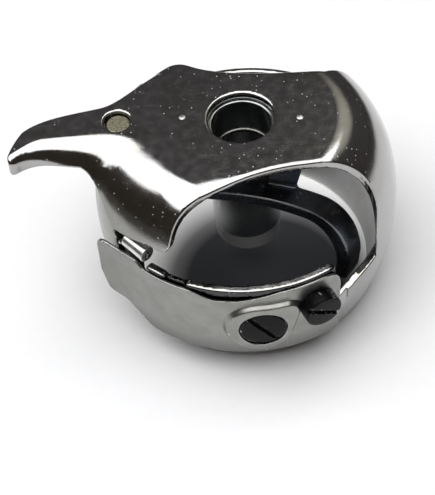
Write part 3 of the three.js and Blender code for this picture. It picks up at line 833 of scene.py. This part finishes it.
def blued_spring_steel():
    """Tempered spring steel, nearly black with a blue cast and a bright line along its edges."""
    s = Shader("blued_spring_steel")
    cast = s.span(s.noise(0.5, 3.0), 0.35, 0.7)
    color = s.mix(cast, (0.11, 0.115, 0.122, 1), (0.11, 0.13, 0.165, 1))
    color = s.mix(s.times(s.edges(0.51, 0.58), 0.8), color, (0.34, 0.34, 0.33, 1))
    grain = s.noise(1.0, 3.0, s.stretched((4.0, 30.0, 30.0), (0, 0, 0.54)))
    rough = s.span(grain, 0.3, 0.7, 0.22, 0.36)
    return s.finish(color, rough, 1.0, s.bump(s.times(grain, 0.006), 1.0, 1.0))


def bright_steel():
    """Turned steel, darker above, with its end painted lighter, rougher and less metallic as a painted
    reflection of the paper below.
    """
    s = Shader("bright_steel")
    # Painted reflection: the post's end is lighter, rougher and less metallic, in place of the paper it
    # reflects.
    painted_light_nose = s.span(s.axis("Z"), post_low[2] + POST_NOSE + 0.1, post_low[2] + POST_NOSE - 0.1)
    turned = s.noise(1.0, 3.0, s.stretched((1.5, 1.5, 40.0)))
    color = s.mix(painted_light_nose, (0.34, 0.35, 0.35, 1), (0.7, 0.7, 0.69, 1))
    rough = s.add(s.span(turned, 0.3, 0.7, 0.14, 0.26), s.times(painted_light_nose, 0.2))
    metal = s.add(1.0, s.times(painted_light_nose, -0.6))
    return s.finish(color, rough, metal, s.bump(s.times(turned, 0.003), 1.0, 1.0))


def roller_steel():
    """Hard steel sleeve with a satin shine."""
    s = Shader("roller_steel")
    rough = s.span(s.noise(3.0, 3.0), 0.3, 0.7, 0.25, 0.35)
    lines = s.scratches(16.0, (0, 0, -0.76))
    color = s.mix(s.span(s.noise(1.2, 3.0), 0.4, 0.7), (0.8, 0.8, 0.79, 1), (0.62, 0.62, 0.6, 1))
    return s.finish(color, rough, 1.0, s.bump(s.times(lines, -0.002), 1.0, 1.0))


def spring_wire():
    """Dark drawn wire."""
    s = Shader("spring_wire")
    grain = s.noise(9.0, 4.0)
    color = s.mix(s.span(grain, 0.4, 0.65), (0.2, 0.2, 0.19, 1), (0.12, 0.12, 0.11, 1))
    rough = s.span(grain, 0.3, 0.7, 0.18, 0.34)
    return s.finish(color, rough, 1.0, s.bump(s.times(grain, 0.006), 1.0, 1.0))


def aged_brass():
    """Dull, grainy brass grey with handling."""
    s = Shader("aged_brass")
    grain = s.noise(6.0, 6.0)
    color = s.mix(s.span(grain, 0.42, 0.6), (0.25, 0.24, 0.17, 1), (0.14, 0.13, 0.1, 1))
    color = s.mix(s.specks(5.0, 0.12, 0.3), color, (0.75, 0.73, 0.6, 1))
    rough = s.span(grain, 0.3, 0.7, 0.35, 0.6)
    return s.finish(color, rough, 0.9, s.bump(s.times(grain, 0.03), 1.0, 1.0))


def rivet_steel():
    """Filed rivet ends that catch the light."""
    s = Shader("rivet_steel")
    grain = s.noise(8.0, 4.0)
    color = s.mix(s.span(grain, 0.4, 0.6), (0.75, 0.74, 0.72, 1), (0.4, 0.39, 0.37, 1))
    rough = s.span(grain, 0.3, 0.7, 0.15, 0.35)
    return s.finish(color, rough, 1.0, s.bump(s.times(grain, 0.04), 1.0, 1.0))


finishes = {
    "case_body": chromed_steel(),
    "tension_spring": satin_spring_steel(),
    "tension_screw": blackened_steel(),
    "anti_spin_spring": blued_spring_steel(),
    "centre_post": bright_steel(),
    "thread_roller": roller_steel(),
    "post_snap_ring": spring_wire(),
    "horn_pin": aged_brass(),
    "post_rivet_left": rivet_steel(),
}
finishes["fixing_screw"] = finishes["tension_screw"]
finishes["roller_pin"] = finishes["post_snap_ring"]
finishes["post_rivet_right"] = finishes["post_rivet_left"]
for node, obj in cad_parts.items():
    for slot in obj.material_slots:
        slot.material = finishes[node]

# ------------------------------------------------------------------ the pieces

tension_screw = slotted_screw(TENSION_SCREW, 1.95, 1.0, 13.3, 13.66, 0.06, -53.7, 0.1)
fixing_screw = slotted_screw(FIXING_SCREW, 1.65, 0.85, 13.26, 14.47, 0.05, -32.1, 0.16)
PIECES = [
    ("case_shell", "case_body", case_body, 0.15, "case", "chromed_steel"),
    ("tension_leaf", "tension_spring", tension_leaf, 0.08, "tension_leaf", "satin_spring_steel"),
    ("regulating_screw", "tension_screw", tension_screw, 0.05, "regulating_screw", "blackened_steel"),
    ("leaf_fixing_screw", "fixing_screw", fixing_screw, 0.05, "case", "blackened_steel"),
    ("anti_spin_bow", "anti_spin_spring", anti_spin_bow, 0.09, "bow", "blued_spring_steel"),
    ("post_tube", "centre_post", centre_post, 0.1, "case", "bright_steel"),
    ("post_ring", "post_snap_ring", snap_ring, 0.05, "case", "spring_wire"),
    ("rivet_left", "post_rivet_left", rivet(-1, "post_rivet_left"), 0.05, "case", "bright_steel"),
    ("rivet_right", "post_rivet_right", rivet(1, "post_rivet_right"), 0.05, "case", "bright_steel"),
    ("horn_stop", "horn_pin", horn_pin, 0.05, "case", "aged_brass"),
    ("roller_sleeve", "thread_roller", thread_roller, 0.04, "roller", "bright_steel"),
    ("roller_axle", "roller_pin", roller_pin, 0.04, "case", "spring_wire"),
]
for name, node, field, step, body, slot in PIECES:
    build(name, node, field, step, finishes[node], body, slot)

# ------------------------------------------------------------------ stage, light and camera

FLOOR_HALF = 0.6  # metres, as are the softbox's sizes and places
FLOOR_HEIGHT = -0.02  # a hair below the rim
SOFTBOX = {"height": 0.5, "x": -0.16, "y": -0.03, "wide": 0.88, "deep": 0.66, "turn": 8, "power": 5.0}
INNER_SHADE = (1.5, -3.0)  # the middle of the shaded paper under the case
SHEET_EDGE = (50.0, 70.0)  # the paper darkens between these distances to the left of the case
SHEET_FAR = (58.0, 95.0)  # and between these behind it and to its right


def paper():
    """Pale paper that darkens far from the case.

    Inside the rim it is tinted dark in the middle and glows faintly at the back, in place of the shade and
    the scattered light inside the case.
    """
    s = Shader("paper")
    fibre = s.noise(0.9, 5.0)
    color = s.mix(fibre, (0.88, 0.885, 0.9, 1), (0.91, 0.915, 0.93, 1))
    left = s.add(s.times(s.axis("X"), -0.9), s.times(s.axis("Y"), -0.3))
    far = s.add(s.times(s.axis("X"), 0.75), s.times(s.axis("Y"), 0.66))
    gone = s.math("MAXIMUM", s.span(left, *SHEET_EDGE), s.span(far, *SHEET_FAR))
    color = s.mix(gone, color, (0.05, 0.045, 0.04, 1))
    inside = s.node("ShaderNodeVectorMath", {0: s.place}, operation="LENGTH").outputs["Value"]
    deep = s.vector("SUBTRACT", s.place, (*INNER_SHADE, 0))
    deep = s.node("ShaderNodeVectorMath", {0: deep}, operation="LENGTH").outputs["Value"]
    within = s.span(inside, RIM - 0.2, RIM - 0.8)
    shade = s.math("MULTIPLY", within, s.span(deep, 12.0, 7.0))
    color = s.mix(shade, color, (0.05, 0.052, 0.06, 1))
    bounce = s.math("MULTIPLY", within, s.span(deep, 8.5, 12.5, 0.0, 0.5))
    flat = s.bump(s.times(fibre, 0.01), 1.0, 0.3)
    return s.finish(color, 0.9, 0.0, flat, Emission_Color=(1, 1, 0.98, 1), Emission_Strength=bounce)


def place_floor():
    mesh = bpy.data.meshes.new("floor")
    half, low = FLOOR_HALF, FLOOR_HEIGHT * MM
    corners = [(-half, -half, low), (half, -half, low), (half, half, low), (-half, half, low)]
    mesh.from_pydata(corners, [], [(0, 1, 2, 3)])
    mesh.materials.append(paper())
    floor = bpy.data.objects.new("floor", mesh)
    bpy.context.scene.collection.objects.link(floor)


def place_light():
    light = bpy.data.lights.new("softbox", "AREA")
    light.shape = "RECTANGLE"
    light.size, light.size_y = SOFTBOX["wide"], SOFTBOX["deep"]
    light.energy = SOFTBOX["power"]
    obj = bpy.data.objects.new("softbox", light)
    obj.location = (SOFTBOX["x"], SOFTBOX["y"], SOFTBOX["height"])
    obj.rotation_euler = (0, 0, math.radians(SOFTBOX["turn"]))
    bpy.context.scene.collection.objects.link(obj)


ROOM = (0.048, 0.04, 0.032)
BEHIND = (0.03, 0.034, 0.042)
PATCH = (0.56, 0.54, 0.45)


def place_world():
    """A dim warm room, cooler behind the object, with a dull beige patch behind at the right."""
    world = bpy.data.worlds.new("studio")
    bpy.context.scene.world = world
    world.use_nodes = True
    tree = world.node_tree
    direction = tree.nodes.new("ShaderNodeTexCoord").outputs["Generated"]

    def glow(towards, low, high, color):
        toward = Vector(towards).normalized()
        dot = tree.nodes.new("ShaderNodeVectorMath")
        dot.operation = "DOT_PRODUCT"
        tree.links.new(direction, dot.inputs[0])
        dot.inputs[1].default_value = toward
        span = tree.nodes.new("ShaderNodeMapRange")
        span.interpolation_type = "SMOOTHSTEP"
        tree.links.new(dot.outputs["Value"], span.inputs["Value"])
        span.inputs["From Min"].default_value = low
        span.inputs["From Max"].default_value = high
        lit = tree.nodes.new("ShaderNodeVectorMath")
        lit.operation = "SCALE"
        lit.inputs[0].default_value = color
        tree.links.new(span.outputs["Result"], lit.inputs["Scale"])
        return lit.outputs[0]

    total = glow((0, 0, 1), -9, -8, ROOM)  # the span lies below every direction, so it is lit all over
    cool = glow((0, 1, 0.3), -0.2, 0.8, BEHIND)
    beige = glow((0.48, 0.88, 1), 0.93, 0.997, PATCH)
    for part in (cool, beige):
        joined = tree.nodes.new("ShaderNodeVectorMath")
        joined.operation = "ADD"
        tree.links.new(total, joined.inputs[0])
        tree.links.new(part, joined.inputs[1])
        total = joined.outputs[0]
    tree.links.new(total, tree.nodes["Background"].inputs["Color"])


CAMERA = {"azimuth": 7.11, "elevation": 51.06, "roll": -5.31, "distance": 147.6, "lens": 125.1}
AIM = np.array([-2.17, -6.49, 9.0])


def place_camera():
    camera = bpy.data.cameras.new("camera")
    camera.sensor_width = 36
    camera.lens = CAMERA["lens"]
    camera.clip_start, camera.clip_end = 0.01, 10
    obj = bpy.data.objects.new("camera", camera)
    bpy.context.scene.collection.objects.link(obj)
    a, e = math.radians(CAMERA["azimuth"]), math.radians(CAMERA["elevation"])
    back = Vector((math.sin(a) * math.cos(e), -math.cos(a) * math.cos(e), math.sin(e)))
    aim = Vector((AIM + AXIS) * MM)
    turn = (-back).to_track_quat("-Z", "Y").to_matrix().to_4x4()
    turn = turn @ Matrix.Rotation(math.radians(CAMERA["roll"]), 4, "Z")
    obj.matrix_world = Matrix.Translation(aim + back * CAMERA["distance"] * MM) @ turn
    bpy.context.scene.camera = obj


place_floor()
place_light()
place_world()
place_camera()
bpy.context.scene.view_settings.view_transform = "Standard"
